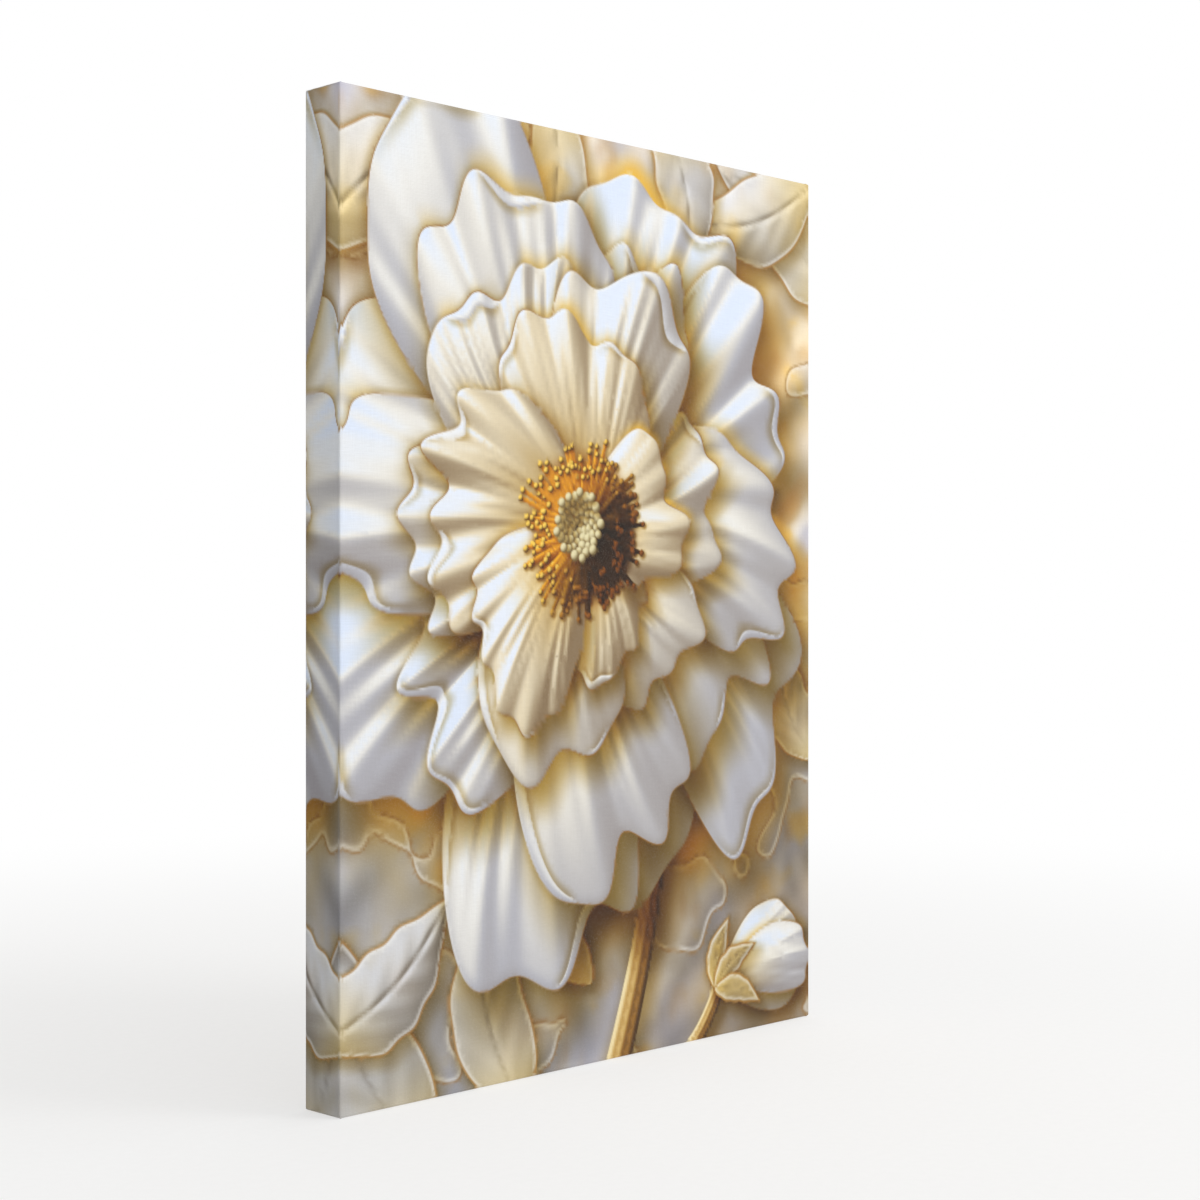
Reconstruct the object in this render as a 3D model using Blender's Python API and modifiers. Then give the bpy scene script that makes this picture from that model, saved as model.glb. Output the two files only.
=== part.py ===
"""Stretched canvas, 500 x 700 x 38 mm: printed cloth over a keyed stretcher frame.

Run with: blender --background --python part.py

The front of the picture faces -Y and +Z is up. The origin is the middle of the bottom of the whole
box, which the hanger makes a little deeper than the picture. Four mitred bars interlock with a
tongue and a slot at each corner. Two wooden keys a corner sit in what is left of the slots,
staples hold the cloth on the back, and a sawtooth plate hangs it.
"""

import math

import bmesh
import bpy
from mathutils import Matrix, Vector

MM = 0.001

# The finished picture
WIDTH = 500 * MM
HEIGHT = 700 * MM
DEPTH = 38 * MM
GAP = 0.3 * MM  # between neighbours that touch on the real object

# The cloth
CLOTH_THICK = 0.5 * MM
CLOTH_TURNED_OVER = 26 * MM  # onto the back of the bars
CLOTH_EDGE_ROUND = 1.2 * MM
SKIN = CLOTH_THICK + GAP  # from the outside of the cloth to the wood

# The bars. Across the bar is measured inwards from its outer edge.
BAR_WIDTH = 40 * MM
BAR_DEPTH = DEPTH - 2 * SKIN
BAR_FRONT = -BAR_DEPTH / 2
BAR_BACK = BAR_DEPTH / 2
LIP_WIDTH = 5 * MM  # the only part of the front that the cloth touches
LIP_FOOT = 8 * MM
LIP_HEIGHT = 3 * MM
FRONT_SLOPE = 2 * MM  # how much further the front falls away by the inner edge
BAR_CHAMFER = 0.8 * MM

# The corner joint: each bar has a tongue in one layer and a slot in the other.
LAYER = 5 * MM
MITRE_GAP = GAP / 2 * math.sqrt(2)
SLOT_PAST_OUTSIDE = 3 * MM  # how far the slot's shoulder is past the other bar, at the outer edge
SLOT_PAST_INSIDE = 11 * MM  # and at the inner edge
SHOULDER_SLOPE = (SLOT_PAST_INSIDE - SLOT_PAST_OUTSIDE) / BAR_WIDTH

# The keys
KEY_TIP = 8 * MM  # from the outer edge
KEY_HEAD = BAR_WIDTH + 12 * MM
KEY_THICK = LAYER - 2 * GAP
KEY_CORNER = 1.5 * MM

# The staples
STAPLE_CROWN = 10 * MM
STAPLE_LEG = 8 * MM
STAPLE_WIRE = 0.6 * MM
STAPLE_WIRE_WIDTH = 1.2 * MM
STAPLE_BEND = 0.5 * MM
STAPLE_FROM_EDGE = 14 * MM
STAPLE_TURN = math.radians(7)  # the most that a staple stands out of line
STAPLE_TURN_STEP = 2.4  # radians, which scatters the turns along a side
STAPLES_LONG_SIDE = 12
STAPLES_SHORT_SIDE = 8
STAPLE_END_MARGIN = 34 * MM

# The sawtooth hanger
HANGER_LENGTH = 46 * MM
HANGER_HEIGHT = 9 * MM
HANGER_THICK = 0.9 * MM
HANGER_RAISED_HALF = 14 * MM  # half the length of the raised middle
HANGER_RAISE = 1.8 * MM
HANGER_RAMP = 2.5 * MM
HANGER_TEETH = 11
HANGER_TOOTH = 2 * MM
HANGER_TOOTH_FLAT = 0.4 * MM  # how much of each tooth's point is left off
HANGER_FROM_EDGE = 29 * MM  # from the bar's outer edge to the hanger's upper edge
HANGER_PROUD = BAR_BACK + GAP + HANGER_RAISE + HANGER_THICK - DEPTH / 2  # past the back of the cloth

# The hanger's nails
NAIL_AT = 18.5 * MM  # each side of the hanger's middle
NAIL_RADIUS = 0.7 * MM
NAIL_LENGTH = 9 * MM
NAIL_HEAD_RADIUS = 1.9 * MM
NAIL_HEAD_HEIGHT = 0.8 * MM
NAIL_SIDES = 12
NAIL_DOME_ANGLES = (0, 20, 40, 60)  # degrees up the head's round edge

FAR = 100 * MM  # cutters run this far past what they cut
SHARP_ANGLE = math.radians(35)


def clear_scene():
    for obj in list(bpy.data.objects):
        bpy.data.objects.remove(obj)


def new_collection(name):
    collection = bpy.data.collections.new(name)
    bpy.context.scene.collection.children.link(collection)
    return collection


def new_material(name, colour, roughness, metallic=0.0):
    material = bpy.data.materials.new(name)
    material.use_nodes = True
    shader = material.node_tree.nodes["Principled BSDF"]
    shader.inputs["Base Color"].default_value = (*colour, 1)
    shader.inputs["Roughness"].default_value = roughness
    shader.inputs["Metallic"].default_value = metallic
    material.diffuse_color = (*colour, 1)
    return material


def new_object(name, data, collection, place=Matrix(), material=None):
    """An object at this place in the picture's own frame, whose Y = 0 is the middle of its depth."""
    obj = bpy.data.objects.new(name, data)
    collection.objects.link(obj)
    obj.parent = picture
    obj.matrix_basis = place
    if material and not data.materials:
        data.materials.append(material)
    return obj


def flat_plate(name, outline, thickness):
    """A mesh of a plate with this outline in its XY plane, centred on Z."""
    curve = bpy.data.curves.new(name, "CURVE")
    curve.dimensions = "2D"
    curve.fill_mode = "BOTH"
    curve.extrude = thickness / 2
    spline = curve.splines.new("POLY")
    spline.points.add(len(outline) - 1)
    for point, (x, y) in zip(spline.points, outline):
        point.co = (x, y, 0, 1)
    spline.use_cyclic_u = True
    holder = bpy.data.objects.new(name, curve)
    bpy.context.scene.collection.objects.link(holder)
    bpy.context.view_layer.update()
    evaluated = holder.evaluated_get(bpy.context.evaluated_depsgraph_get())
    mesh = bpy.data.meshes.new_from_object(evaluated)
    bpy.data.objects.remove(holder)
    bpy.data.curves.remove(curve)
    shape = bmesh.new()
    shape.from_mesh(mesh)
    bmesh.ops.remove_doubles(shape, verts=shape.verts, dist=0.01 * MM)
    bmesh.ops.recalc_face_normals(shape, faces=shape.faces)
    shape.to_mesh(mesh)
    shape.free()
    mesh.shade_flat()
    return mesh


def axes_matrix(x_axis, y_axis, z_axis, origin):
    """The matrix that sends a mesh's own axes to these directions."""
    matrix = Matrix((x_axis, y_axis, z_axis)).transposed().to_4x4()
    matrix.translation = origin
    return matrix


def subtract(obj, cutter):
    modifier = obj.modifiers.new("cut_" + cutter.name, "BOOLEAN")
    modifier.operation = "DIFFERENCE"
    modifier.solver = "EXACT"
    modifier.object = cutter


def new_cutter(name, mesh, place=Matrix()):
    cutter = new_object(name, mesh, cutters, place)
    cutter.hide_render = True
    cutter.display_type = "WIRE"
    return cutter


# Where each side's bar lies: its turn about Y and the middle of its outer edge. In the bar's own
# frame X runs along it, Y is the depth and Z points inwards from the outer edge.
def side_placement(side):
    middle = HEIGHT / 2
    turn, centre = {
        "bottom": (0, (0, 0, 0)),
        "right": (-90, (WIDTH / 2, 0, middle)),
        "top": (180, (0, 0, HEIGHT)),
        "left": (90, (-WIDTH / 2, 0, middle)),
    }[side]
    return Matrix.Translation(centre) @ Matrix.Rotation(math.radians(turn), 4, "Y")


def side_length(side):
    return WIDTH if side in ("top", "bottom") else HEIGHT


SIDES = ("bottom", "right", "top", "left")


# ---------------------------------------------------------------- staples
def staple_mesh():
    """A U of flat wire. The crown runs along X just outside Y = 0, and the legs run to -Y."""
    half, wire, bend = STAPLE_CROWN / 2, STAPLE_WIRE, STAPLE_BEND
    right = [
        (half - bend, GAP + wire),
        (half, GAP + wire - bend),
        (half, GAP + wire - STAPLE_LEG),
        (half - wire / 2, GAP - STAPLE_LEG),
        (half - wire, GAP + wire - STAPLE_LEG),
        (half - wire, GAP),
    ]
    left = [(-x, y) for x, y in reversed(right)]
    return flat_plate("staple", right + left, STAPLE_WIRE_WIDTH)


def staple_places():
    """(side, number on that side, matrix) for each staple. The matrix sends the crown's own axes to the back."""
    for side in SIDES:
        count = STAPLES_SHORT_SIDE if side_length(side) == WIDTH else STAPLES_LONG_SIDE
        reach = side_length(side) / 2 - STAPLE_END_MARGIN
        for number in range(count):
            along = -reach + 2 * reach * number / (count - 1)
            turn = STAPLE_TURN * math.sin(STAPLE_TURN_STEP * number + len(side))
            at = Vector((along, DEPTH / 2, STAPLE_FROM_EDGE))
            lying = Matrix.Translation(at) @ Matrix.Rotation(turn, 4, "Y")
            yield side, number, side_placement(side) @ lying


def staple_hole_mesh(side):
    """One box for each leg on this side."""
    shape = bmesh.new()
    hole = Matrix.Diagonal((STAPLE_WIRE + 2 * GAP, STAPLE_LEG + 4 * GAP, STAPLE_WIRE_WIDTH + 2 * GAP, 1))
    for _, _, place in (p for p in staple_places() if p[0] == side):
        for end in (-1, 1):
            x = end * (STAPLE_CROWN - STAPLE_WIRE) / 2
            y = GAP + (GAP - STAPLE_LEG) / 2
            bmesh.ops.create_cube(shape, size=1, matrix=place @ Matrix.Translation((x, y, 0)) @ hole)
    mesh = bpy.data.meshes.new("staple_holes_" + side)
    shape.to_mesh(mesh)
    shape.free()
    return mesh


# ---------------------------------------------------------------- bars
def bar_section():
    """The bar's section as (inwards, depth) points, from the back's outer corner round by the front."""
    c = BAR_CHAMFER
    return [
        (c, BAR_BACK),
        (0, BAR_BACK - c),
        (0, BAR_FRONT + c),
        (c, BAR_FRONT),
        (LIP_WIDTH, BAR_FRONT),
        (LIP_FOOT, BAR_FRONT + LIP_HEIGHT),
        (BAR_WIDTH - c, BAR_FRONT + LIP_HEIGHT + FRONT_SLOPE),
        (BAR_WIDTH, BAR_FRONT + LIP_HEIGHT + FRONT_SLOPE + c),
        (BAR_WIDTH, BAR_BACK - c),
        (BAR_WIDTH - c, BAR_BACK),
    ]


def end_cutter(name, outline, low, high, half, end):
    """A prism with a plan of (from the end, inwards) points, between two depths, at one end of a bar."""
    mesh = flat_plate(name, outline, high - low)
    # The plan's X runs from the bar's end towards its middle, and its Y runs inwards.
    along = Vector((-end, 0, 0))
    depth = along.cross(Vector((0, 0, 1)))
    origin = Vector((end * half, (low + high) / 2, 0))
    mesh.transform(axes_matrix(along, Vector((0, 0, 1)), depth, origin))
    return mesh


def bar_cutters(side, half):
    """Meshes that give both ends their mitre, slot and tongue. The +X end has its tongue in the front layer."""
    low, high = -FAR, BAR_WIDTH + FAR
    mitre = [(low + MITRE_GAP, low), (high + MITRE_GAP, high), (low + MITRE_GAP, high)]
    shoulder = [
        (BAR_WIDTH + SLOT_PAST_OUTSIDE + SHOULDER_SLOPE * low, low),
        (BAR_WIDTH + SLOT_PAST_OUTSIDE + SHOULDER_SLOPE * high, high),
        (low, high),
        (low, low),
    ]
    for end in (1, -1):
        # The tongue's layer is the front one at +X. A cutter for the other end is its mirror in depth.
        tag = f"{side}_{'p' if end > 0 else 'n'}"
        layers = {
            "slot": (shoulder, -GAP / 2, LAYER + GAP / 2),
            "mitre_far": (mitre, LAYER / 2, FAR),
            "mitre_near": (mitre, -FAR, -LAYER + GAP / 2),
        }
        for kind, (plan, near, far) in layers.items():
            front, back = (near, far) if end > 0 else (-far, -near)
            yield end_cutter(f"{kind}_{tag}", plan, front, back, half, end)


def make_bar(side):
    half = side_length(side) / 2 - SKIN
    mesh = flat_plate("bar_" + side, bar_section(), 2 * (half - GAP))
    # The section's X is inwards and its Y the depth, so the plate's thickness runs along the bar.
    mesh.transform(axes_matrix(Vector((0, 0, 1)), Vector((0, 1, 0)), Vector((-1, 0, 0)), Vector()))
    place = side_placement(side) @ Matrix.Translation((0, 0, SKIN))
    bar = new_object("stretcher_bar_" + side, mesh, parts, place, pine)
    for cutter_mesh in bar_cutters(side, half):
        subtract(bar, new_cutter(cutter_mesh.name, cutter_mesh, place))
    return bar


# ---------------------------------------------------------------- keys
def key_mesh():
    """A wedge in its plan: X from the frame's outer edge inwards, Y from the edge that it lies along."""
    def height(x):
        return SLOT_PAST_OUTSIDE + SHOULDER_SLOPE * x - GAP

    tip, head, c = KEY_TIP, KEY_HEAD, KEY_CORNER
    outline = [
        (tip + c / 2, GAP),
        (head - c, GAP),
        (head, GAP + c),
        (head, height(head) - c),
        (head - c, height(head - c)),
        (tip + c / 2, height(tip + c / 2)),
        (tip, height(tip) - c / 2),
        (tip, GAP + c / 2),
    ]
    return flat_plate("key", outline, KEY_THICK)


def make_keys():
    """Two keys at each corner. One lies along each bar's inner edge and goes into the other bar's slot."""
    mesh = key_mesh()
    for side, following in zip(SIDES, SIDES[1:] + SIDES[:1]):
        corner = "_".join(sorted((side, following), key=("bottom", "top", "left", "right").index))
        # The bar's +X end meets the following bar's -X end. The front layer holds this bar's tongue.
        for owner, end, layer in ((side, 1, -1), (following, -1, 1)):
            half = side_length(owner) / 2 - SKIN
            along = Vector((-end, 0, 0))
            inwards = Vector((0, 0, 1))
            origin = Vector((end * half, layer * LAYER / 2, SKIN + BAR_WIDTH))
            local = axes_matrix(along, inwards, along.cross(inwards), origin)
            new_object(f"key_{corner}_along_{owner}", mesh, parts, side_placement(owner) @ local, beech)


# ---------------------------------------------------------------- hanger
def hanger_place():
    """The hanger's own frame on the back of the top bar: X along the bar, Y out of the back, Z downwards."""
    at = Vector((0, BAR_BACK + GAP, SKIN + HANGER_FROM_EDGE))
    return side_placement("top") @ Matrix.Translation(at)


def make_hanger():
    flat, top, thick = HANGER_RAISED_HALF + HANGER_RAMP, HANGER_RAISE, HANGER_THICK
    half = HANGER_LENGTH / 2
    under = [(-half, 0), (-flat, 0), (-HANGER_RAISED_HALF, top), (HANGER_RAISED_HALF, top), (flat, 0), (half, 0)]
    over = [(x, y + thick) for x, y in reversed(under)]
    mesh = flat_plate("hanger", under + over, HANGER_HEIGHT)
    mesh.transform(Matrix.Translation((0, 0, HANGER_HEIGHT / 2)))
    hanger = new_object("sawtooth_hanger", mesh, parts, hanger_place(), zinc)

    # The teeth are what a zigzag cutter leaves of the lower edge, which is the one at the highest Z.
    step = HANGER_RAISED_HALF / HANGER_TEETH
    tips = HANGER_HEIGHT + HANGER_TOOTH_FLAT
    zigzag = [
        (-HANGER_RAISED_HALF + number * step, tips - (number % 2) * HANGER_TOOTH)
        for number in range(2 * HANGER_TEETH + 1)
    ]
    below = [(HANGER_RAISED_HALF, FAR), (-HANGER_RAISED_HALF, FAR)]
    mesh = flat_plate("hanger_teeth", zigzag + below, FAR)
    mesh.transform(axes_matrix(Vector((1, 0, 0)), Vector((0, 0, 1)), Vector((0, -1, 0)), Vector()))
    subtract(hanger, new_cutter("hanger_teeth", mesh, hanger_place()))
    return hanger


def nail_places():
    for end in (-1, 1):
        yield end, hanger_place() @ Matrix.Translation((end * NAIL_AT, HANGER_THICK, HANGER_HEIGHT / 2))


def nail_mesh():
    """A turned nail with a domed head. Its axis is Z and its head's flat underside is at Z = GAP."""
    r, head, shank = NAIL_RADIUS, NAIL_HEAD_RADIUS, NAIL_LENGTH
    dome = [
        (head * math.cos(angle), GAP + NAIL_HEAD_HEIGHT * math.sin(angle))
        for angle in map(math.radians, NAIL_DOME_ANGLES)
    ]
    profile = [(0, GAP + NAIL_HEAD_HEIGHT), *reversed(dome), (r, GAP), (r, -shank + 2 * r), (0, -shank)]
    mesh = bpy.data.meshes.new("nail_profile")
    mesh.from_pydata([(x, 0, z) for x, z in profile], [(i, i + 1) for i in range(len(profile) - 1)], [])
    holder = new_object("nail_profile", mesh, cutters)
    screw = holder.modifiers.new("turn", "SCREW")
    screw.steps = screw.render_steps = NAIL_SIDES
    screw.use_merge_vertices = True
    screw.merge_threshold = 0.01 * MM
    screw.use_normal_calculate = True
    bpy.context.view_layer.update()
    turned = bpy.data.meshes.new_from_object(holder.evaluated_get(bpy.context.evaluated_depsgraph_get()))
    bpy.data.objects.remove(holder)
    shape = bmesh.new()
    shape.from_mesh(turned)
    bmesh.ops.recalc_face_normals(shape, faces=shape.faces)
    shape.to_mesh(turned)
    shape.free()
    turned.shade_smooth()
    turned.set_sharp_from_angle(angle=SHARP_ANGLE)
    return turned


def nail_hole_mesh():
    """One round hole for each nail."""
    shape = bmesh.new()
    for _, place in nail_places():
        bmesh.ops.create_cone(
            shape,
            cap_ends=True,
            segments=NAIL_SIDES,
            radius1=NAIL_RADIUS + GAP,
            radius2=NAIL_RADIUS + GAP,
            depth=2 * (NAIL_LENGTH + GAP),
            matrix=place @ Matrix.Rotation(math.radians(-90), 4, "X"),
        )
    mesh = bpy.data.meshes.new("nail_holes")
    shape.to_mesh(mesh)
    shape.free()
    return mesh


def make_nails(hanger, top_bar):
    mesh = nail_mesh()
    holes = new_cutter("nail_holes", nail_hole_mesh())
    subtract(hanger, holes)
    subtract(top_bar, holes)
    for end, place in nail_places():
        # The top bar is turned right over, so the hanger's own +X is the picture's left.
        name = "hanger_nail_" + ("left" if end > 0 else "right")
        new_object(name, mesh, parts, place @ Matrix.Rotation(math.radians(-90), 4, "X"), brass)


# ---------------------------------------------------------------- cloth
def make_canvas():
    """An open box with its rim turned over on the back, solidified inwards."""
    shape = bmesh.new()
    box = Matrix.Translation((0, 0, HEIGHT / 2)) @ Matrix.Diagonal((WIDTH, DEPTH, HEIGHT, 1))
    bmesh.ops.create_cube(shape, size=1, matrix=box)
    shape.faces.ensure_lookup_table()
    back = max(shape.faces, key=lambda face: face.calc_center_median().y)
    bmesh.ops.inset_region(shape, faces=[back], thickness=CLOTH_TURNED_OVER, use_even_offset=True)
    back = max(shape.faces, key=lambda face: (face.calc_center_median().y, face.calc_area()))
    inner = {edge for edge in back.edges}
    bmesh.ops.delete(shape, geom=[back], context="FACES_ONLY")
    folds = [
        edge
        for edge in shape.edges
        if edge not in inner and len(edge.link_faces) == 2 and edge.calc_face_angle() > SHARP_ANGLE
    ]
    bmesh.ops.bevel(shape, geom=folds, offset=CLOTH_EDGE_ROUND, segments=3, profile=0.5, affect="EDGES")
    bmesh.ops.recalc_face_normals(shape, faces=shape.faces)
    mesh = bpy.data.meshes.new("canvas")
    shape.to_mesh(mesh)
    shape.free()
    canvas = new_object("canvas", mesh, parts, material=cloth)
    solidify = canvas.modifiers.new("cloth", "SOLIDIFY")
    solidify.thickness = CLOTH_THICK
    solidify.offset = -1
    solidify.use_even_offset = True
    return canvas


def make_staples(canvas, bars):
    mesh = staple_mesh()
    for side in SIDES:
        holes = new_cutter("staple_holes_" + side, staple_hole_mesh(side))
        subtract(canvas, holes)
        subtract(bars[side], holes)
    for side, number, place in staple_places():
        new_object(f"staple_{side}_{number + 1:02d}", mesh, parts, place, steel)


clear_scene()
parts = new_collection("stretched_canvas")
cutters = new_collection("cutters")
cutters.hide_render = True
picture = bpy.data.objects.new("picture", None)
picture.location.y = -HANGER_PROUD / 2
parts.objects.link(picture)

cloth = new_material("printed_cloth", (0.78, 0.72, 0.63), 0.75)
pine = new_material("pine", (0.72, 0.52, 0.32), 0.6)
beech = new_material("beech", (0.64, 0.43, 0.26), 0.55)
steel = new_material("staple_steel", (0.62, 0.62, 0.64), 0.35, 1.0)
zinc = new_material("zinc_plate", (0.66, 0.62, 0.5), 0.4, 1.0)
brass = new_material("brass", (0.78, 0.6, 0.28), 0.3, 1.0)

canvas_object = make_canvas()
bar_objects = {side: make_bar(side) for side in SIDES}
make_keys()
make_nails(make_hanger(), bar_objects["top"])
make_staples(canvas_object, bar_objects)
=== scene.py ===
"""The looks of the stretched canvas: printed cloth, pine frame, keys, staples and hanger."""

import math

import bmesh
import bpy
import numpy as np
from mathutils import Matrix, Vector
from mathutils.geometry import delaunay_2d_cdt


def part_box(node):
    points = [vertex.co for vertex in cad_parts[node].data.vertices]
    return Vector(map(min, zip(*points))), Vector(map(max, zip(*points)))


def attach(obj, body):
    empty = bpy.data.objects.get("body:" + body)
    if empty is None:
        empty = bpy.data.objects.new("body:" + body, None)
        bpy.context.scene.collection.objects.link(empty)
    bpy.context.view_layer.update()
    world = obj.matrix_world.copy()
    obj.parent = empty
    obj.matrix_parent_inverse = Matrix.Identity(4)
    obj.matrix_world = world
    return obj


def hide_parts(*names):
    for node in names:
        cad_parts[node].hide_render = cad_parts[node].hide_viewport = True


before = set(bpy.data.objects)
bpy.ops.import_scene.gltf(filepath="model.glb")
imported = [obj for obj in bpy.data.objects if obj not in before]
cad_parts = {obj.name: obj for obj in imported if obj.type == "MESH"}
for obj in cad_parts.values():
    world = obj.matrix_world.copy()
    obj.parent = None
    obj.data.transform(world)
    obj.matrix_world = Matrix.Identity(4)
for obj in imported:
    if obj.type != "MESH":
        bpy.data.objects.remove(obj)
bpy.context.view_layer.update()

MM = 0.001
PROBE = 0.5  # millimetres, the step that slopes are measured over

cloth_low, cloth_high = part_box("canvas")
wood_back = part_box("stretcher_bar_top")[1].y

# The print's plane: X to the right and Y up from the front's lower left corner, in millimetres.
WIDE = (cloth_high.x - cloth_low.x) / MM
TALL = (cloth_high.z - cloth_low.z) / MM
DEEP = (cloth_high.y - cloth_low.y) / MM


# ======== small tools
def ease(x, low, high):
    """0 at low, 1 at high, and smooth between them."""
    k = np.clip((x - low) / (high - low), 0, 1)
    return k * k * (3 - 2 * k)


def bell(x, width):
    """1 at 0, and next to nothing beyond twice this width."""
    return np.exp(-((x / width) ** 2))


def mix(first, second, share):
    """Blends colours point by point. The colours are one row for each point, or a single row."""
    return first + (second - first) * np.clip(share, 0, 1)[:, None]


def linear(colour):
    """From the way a colour is written on a screen to the way light adds up."""
    colour = np.clip(colour, 0, 1)
    return np.where(colour <= 0.04045, colour / 12.92, ((colour + 0.055) / 1.055) ** 2.4)


def rgba(*colour):
    return (*linear(np.array(colour)).tolist(), 1.0)


def unit(angle):
    return np.array([math.cos(angle), math.sin(angle)])


def length_of(vectors):
    return np.hypot(vectors[:, 0], vectors[:, 1])


def gradient(height_of, points):
    """The height at these points, and its slopes along X and Y."""
    height = height_of(points)
    rises = [height_of(points + step) - height for step in ([PROBE, 0], [0, PROBE])]
    return height, np.stack(rises, axis=1) / PROBE


def near(points, path, margin):
    """Which points are in the box round this path, or this close to it."""
    return np.all((points > path.min(axis=0) - margin) & (points < path.max(axis=0) + margin), axis=1)


# ======== the print
# A generic relief-style bloom, laid out by rule: rings of ruffled petals round a gold heart, over
# leaves, stems and a bud on a soft ground. Every shape is a function of the point.
LIGHT = np.array([-0.5, 0.52, 0.69]) / np.linalg.norm([-0.5, 0.52, 0.69])
HEART = np.array([0.465 * WIDE, 0.575 * TALL])

WHITE = np.array([0.985, 0.98, 0.965])
COOL = np.array([0.84, 0.9, 1.0])
LILAC = np.array([0.69, 0.71, 0.79])
YELLOW = np.array([0.95, 0.8, 0.4])
GLOW = np.array([0.97, 0.76, 0.25])
OLD_GOLD = np.array([0.58, 0.4, 0.16])
AMBER = np.array([0.66, 0.36, 0.04])
BROWN = np.array([0.17, 0.08, 0.025])
STAMEN = np.array([1.0, 0.72, 0.14])
POLLEN = np.array([1.0, 0.84, 0.36])
SEED_COLOURS = np.array([[0.46, 0.38, 0.22], [0.92, 0.88, 0.7]])
SHADOW = np.array([0.36, 0.52, 0.9])  # how much of each colour a full shadow takes away
WARMTH = np.array([0.03, 0.13, 0.34])  # the same for the dim parts of a warm petal

# What a petal and a stem look like from their darkest side to their brightest
PETAL_LIT = (-0.1, 0.35, 0.62, 0.82, 0.97)
PETAL_COLOURS = np.array(
    [[0.54, 0.47, 0.38], [0.71, 0.67, 0.61], [0.85, 0.84, 0.82], [0.95, 0.95, 0.94], [0.99, 0.995, 1.0]]
)
STEM_LIT = (0, 0.4, 0.8, 1)
STEM_COLOURS = np.array([[0.28, 0.18, 0.07], [0.6, 0.42, 0.16], [0.84, 0.7, 0.42], [0.97, 0.9, 0.7]])

PRINT_SEED = 5
SEEDS = 60  # in the bloom's middle
GOLDEN_TURN = math.pi * (3 - math.sqrt(5))
OUTLINE_SOFT = 0.65  # millimetres, half the width of a petal's or leaf's soft outline
PETAL_SIZE = 250  # the length of a petal whose shadow and rim are as the numbers say
PETAL_SHADOW = 28  # how far its soft shadow spreads


def waves(rng, count, low, high):
    """A smooth random function of one value, as sine waves between two frequencies."""
    return (
        rng.uniform(low, high, count),
        rng.uniform(0.5, 1, count) / math.sqrt(count),
        rng.uniform(0, 2 * math.pi, count),
    )


def wave_sum(wave, x):
    total = np.zeros(len(x))
    for frequency, size, phase in zip(*wave):
        total += size * np.sin(frequency * x + phase)
    return total


def cloud(points, size, seed):
    """Soft blotches about this size, from about -1 to 1."""
    rng = np.random.default_rng(seed)
    total = np.zeros(len(points))
    for octave in range(3):
        shrink = 1.9**octave
        for _ in range(4):
            turn, warp_turn, phase, warp_phase = rng.uniform(0, 2 * math.pi, 4)
            pace = 2 * math.pi * shrink / size * rng.uniform(0.7, 1.3)
            warp = 1.3 * np.sin(points @ unit(warp_turn) * pace * 0.6 + warp_phase)
            total += np.sin(points @ unit(turn) * pace + warp + phase) / 1.8**octave / 4
    return total


def ramp(value, stops, colours):
    return np.stack([np.interp(value, stops, colours[:, channel]) for channel in range(3)], axis=1)


class Petal:
    """A ruffled fan about its base. Its rim's ruffles are the same waves as the folds that run to it."""

    def __init__(self, rng, base, turn, length, half_angle, ruffle, cup, lift):
        self.base, self.turn, self.length, self.half_angle = base, turn, length, half_angle
        self.ruffle, self.cup, self.lift = ruffle * rng.uniform(0.8, 1.25), cup, lift
        self.bend = rng.uniform(-0.35, 0.35)
        self.notch = rng.uniform(-0.14, 0.03)
        self.skew = rng.uniform(-0.3, 0.3)
        self.folds = waves(rng, 3, 4, 9)
        self.crimps = waves(rng, 4, 14, 30)
        self.veins = waves(rng, 5, 34, 80)
        self.lip = waves(rng, 3, 5, 13)
        self.reach = length * 1.4
        self.glow = rng.uniform(0, 0.9)

    def polar(self, points):
        offset = points - self.base
        radius = length_of(offset) + 1e-6
        angle = np.arctan2(offset[:, 1], offset[:, 0]) - self.turn - self.bend * radius / self.length
        return radius, (angle + math.pi) % (2 * math.pi) - math.pi

    def rim(self, angle):
        """The rim's distance from the base before the sides round it off."""
        ruffles = 0.7 * wave_sum(self.folds, angle) + 0.34 * wave_sum(self.crimps, angle)
        notch = self.notch * bell(angle, 0.3 * self.half_angle)
        shape = 1 + self.ruffle * ruffles + self.skew * np.clip(angle, -1, 1) + notch
        return self.length * np.maximum(shape, 0.3)

    def side(self, angle):
        return (np.abs(angle) / self.half_angle) ** 2.8

    def field(self, points):
        radius, angle = self.polar(points)
        return (radius / self.rim(angle)) ** 2 + self.side(angle) - 1

    def inside(self, points):
        """About how far each point is inside the outline in millimetres, and the way out of it."""
        field, slope = gradient(self.field, points)
        steep = length_of(slope)
        within = -field / np.clip(steep, 1.1 / self.length, 60 / self.length)
        return within, slope / np.maximum(steep, 1e-6)[:, None]

    def lip_width(self, angle):
        """How far the rim is turned over, where it is."""
        return np.maximum(0.05 * self.length * (wave_sum(self.lip, angle) - 0.12), 0)

    def relief(self, points):
        """The height, and how far out along the petal each point is."""
        radius, angle = self.polar(points)
        out = np.clip(radius / (self.rim(angle) * np.clip(1 - self.side(angle), 0.02, 1) ** 0.5), 0, 1.1)
        height = self.lift * (0.42 * out**1.2 - 0.3 * out**3.2)
        height -= self.cup * 0.34 * (angle / self.half_angle) ** 2 * out
        height += self.ruffle * 0.36 * wave_sum(self.folds, angle) * out**1.8
        height += self.ruffle * 0.22 * wave_sum(self.crimps, angle) * out**3
        fade = ease(radius, 50, 130)  # nearer the base the veins would be finer than the cloth's mesh
        height += 0.025 * wave_sum(self.veins, angle) * out * (1.18 - out) * fade
        return self.length * height, out


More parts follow.
